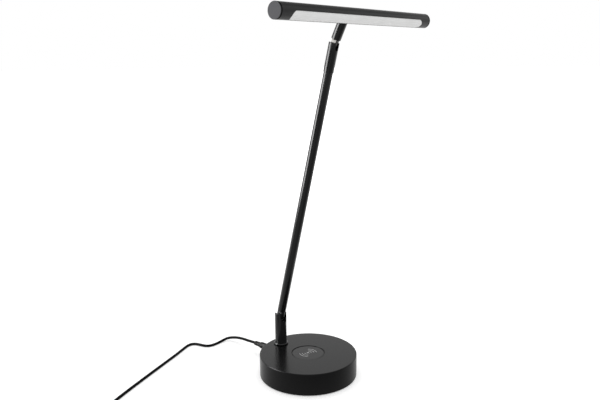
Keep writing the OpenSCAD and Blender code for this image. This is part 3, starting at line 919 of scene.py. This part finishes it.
# the studio's places and sizes are in metres
floorValues = {
    "size": 30,
    "color": 0.8,
    "glow": (0.42, 1.0),
    "ramp": (0.5, 1.6),
    # what glossy surfaces see of the table: dim before the lamp, bright behind it
    "front": (-0.7625, -0.647, 0),
    "mirrorRamp": (0.12, -0.12),
    "mirror": (0.28, 0.9),
    # and to its sides: brighter close by on the left, and slowly brighter far to the right
    "toRight": (0.647, -0.7625, 0),
    "sideRamp": (-0.12, 0.12),
    "sideMirror": (0.14, -0.12),
    "slope": 0.18,
    "mirrorLow": 0.05,
}


# camera, glossy and transmission rays, the ones that look at the white ground
def whiteRays(tree, rays):
    camera, glossy, through = [
        rays.outputs["Is " + kind + " Ray"] for kind in ("Camera", "Glossy", "Transmission")
    ]
    return mathNode(tree, "MAXIMUM", mathNode(tree, "MAXIMUM", camera, glossy), through)


def makeFloor(values):
    mesh = bmesh.new()
    bmesh.ops.create_grid(mesh, x_segments=1, y_segments=1, size=values["size"])
    floor = addObject(mesh, "floor")
    material, tree, shader = newMaterial("paperFloor")
    link = tree.links.new
    shader.inputs["Base Color"].default_value = (values["color"],) * 3 + (1,)
    shader.inputs["Roughness"].default_value = 1
    shader.inputs["Specular IOR Level"].default_value = 0
    rays = tree.nodes.new("ShaderNodeLightPath")
    where = tree.nodes.new("ShaderNodeTexCoord").outputs["Object"]
    # the glow rises away from the lamp, up to the white of the world
    reach = tree.nodes.new("ShaderNodeVectorMath")
    reach.operation = "LENGTH"
    link(where, reach.inputs[0])
    rise = mapRange(tree, reach.outputs["Value"], values["ramp"], values["glow"])
    glow = mathNode(tree, "MULTIPLY", whiteRays(tree, rays), rise)
    shader.inputs["Emission Color"].default_value = (1, 1, 1, 1)
    link(glow, shader.inputs["Emission Strength"])
    front = alongNode(tree, where, values["front"])
    side = alongNode(tree, where, values["toRight"])
    fade = mapRange(tree, front, values["mirrorRamp"], values["mirror"])
    turn = mapRange(tree, side, values["sideRamp"], values["sideMirror"])
    near = mathNode(tree, "ADD", fade, turn)
    level = mathNode(tree, "MULTIPLY_ADD", side, values["slope"], near)
    kept = tree.nodes.new("ShaderNodeClamp")
    kept.inputs["Min"].default_value = values["mirrorLow"]
    link(level, kept.inputs["Value"])
    mirror = tree.nodes.new("ShaderNodeEmission")
    link(kept.outputs["Result"], mirror.inputs["Strength"])
    mix = tree.nodes.new("ShaderNodeMixShader")
    link(rays.outputs["Is Glossy Ray"], mix.inputs["Fac"])
    link(shader.outputs["BSDF"], mix.inputs[1])
    link(mirror.outputs["Emission"], mix.inputs[2])
    link(mix.outputs["Shader"], tree.nodes["Material Output"].inputs["Surface"])
    floor.data.materials.append(material)


worldValues = {"light": 0.78, "white": 1.0, "glossy": 0.85}


def makeWorld(values):
    world = bpy.data.worlds.new("studio")
    scene.world = world
    world.use_nodes = True
    # no light sampling towards the world, so that the cards also hold it back
    world.cycles.sampling_method = "NONE"
    tree = world.node_tree
    ground = tree.nodes["Background"]
    rays = tree.nodes.new("ShaderNodeLightPath")
    level = mapRange(tree, whiteRays(tree, rays), (0, 1), (values["light"], values["white"]))
    shine = mapRange(tree, rays.outputs["Is Glossy Ray"], (0, 1), (1, values["glossy"]))
    ground.inputs["Color"].default_value = (1, 1, 1, 1)
    tree.links.new(mathNode(tree, "MULTIPLY", level, shine), ground.inputs["Strength"])


lightValues = {
    "topSoftbox": {"place": (0.1, 0.1, 2.0), "aim": (0, 0, 0.1), "size": (1.0, 1.0),
                   "power": 9, "diffuse": True, "glossy": False},
    # seen in glossy surfaces only, as the bright line along their left side
    "leftSoftbox": {"place": (-0.75, 0.7, 0.42), "aim": (0, 0, 0.42), "size": (0.6, 0.8),
                    "power": 13.8, "diffuse": False, "glossy": True},
    # the small glints on rims and edges
    "rimSoftbox": {"place": (-0.45, 1.3, 1.45), "aim": (0, 0, 0.05), "size": (0.5, 0.36),
                   "power": 13, "diffuse": False, "glossy": True},
}
# pale and dark cards that only reflections see, the rest of the studio, each with the
# glow of its left and right end as the lamp sees them
cardValues = {
    "cameraCard": {"place": (-1.55, -1.3, 1.5), "aim": (0, 0, 1.5), "size": (3.4, 1.9),
                   "glow": (0.8, 0.9)},
    "ceilingCard": {"place": (-0.62, -0.52, 2.45), "aim": (-0.6, -0.5, 0), "size": (3.4, 1.9),
                    "glow": (0.1, 0.15)},
    "rightCard": {"place": (1.3, -1.55, 0.95), "aim": (0, 0, 0.95), "size": (2.6, 2.2),
                  "glow": (0.5, 0.75)},
    "hoodCard": {"place": (1.5, 0.15, 1.8), "aim": (0, 0, 0.45), "size": (1.9, 1.2),
                 "glow": (0.3, 0.3)},
}


def aimAt(thing, values):
    thing.location = values["place"]
    aim = Vector(values["aim"]) - Vector(values["place"])
    thing.rotation_euler = aim.to_track_quat("-Z", "Y").to_euler()


def makeCard(name, values):
    mesh = bmesh.new()
    bmesh.ops.create_grid(mesh, x_segments=1, y_segments=1, size=0.5)
    wide, tall = values["size"]
    bmesh.ops.scale(mesh, vec=(wide, tall, 1), verts=mesh.verts)
    card = addObject(mesh, name)
    aimAt(card, values)
    card.visible_camera = card.visible_diffuse = False
    card.visible_shadow = card.visible_transmission = False
    material, tree, shader = newMaterial(name)
    shader.inputs["Base Color"].default_value = (0, 0, 0, 1)
    shader.inputs["Specular IOR Level"].default_value = 0
    shader.inputs["Emission Color"].default_value = (1, 1, 1, 1)
    where = tree.nodes.new("ShaderNodeTexCoord")
    split = tree.nodes.new("ShaderNodeSeparateXYZ")
    tree.links.new(where.outputs["Object"], split.inputs[0])
    fade = mapRange(tree, split.outputs["X"], (-wide / 2, wide / 2), values["glow"])
    tree.links.new(fade, shader.inputs["Emission Strength"])
    card.data.materials.append(material)


def makeLight(name, values):
    data = bpy.data.lights.new(name, "AREA")
    data.shape = "RECTANGLE"
    data.size, data.size_y = values["size"]
    data.energy = values["power"]
    light = bpy.data.objects.new(name, data)
    scene.collection.objects.link(light)
    light.visible_diffuse = values["diffuse"]
    light.visible_glossy = values["glossy"]
    aimAt(light, values)


makeFloor(floorValues)
makeWorld(worldValues)
for name, values in lightValues.items():
    makeLight(name, values)
for name, values in cardValues.items():
    makeCard(name, values)
scene.view_settings.view_transform = "Standard"
print("studio made")

bpy.context.view_layer.update()
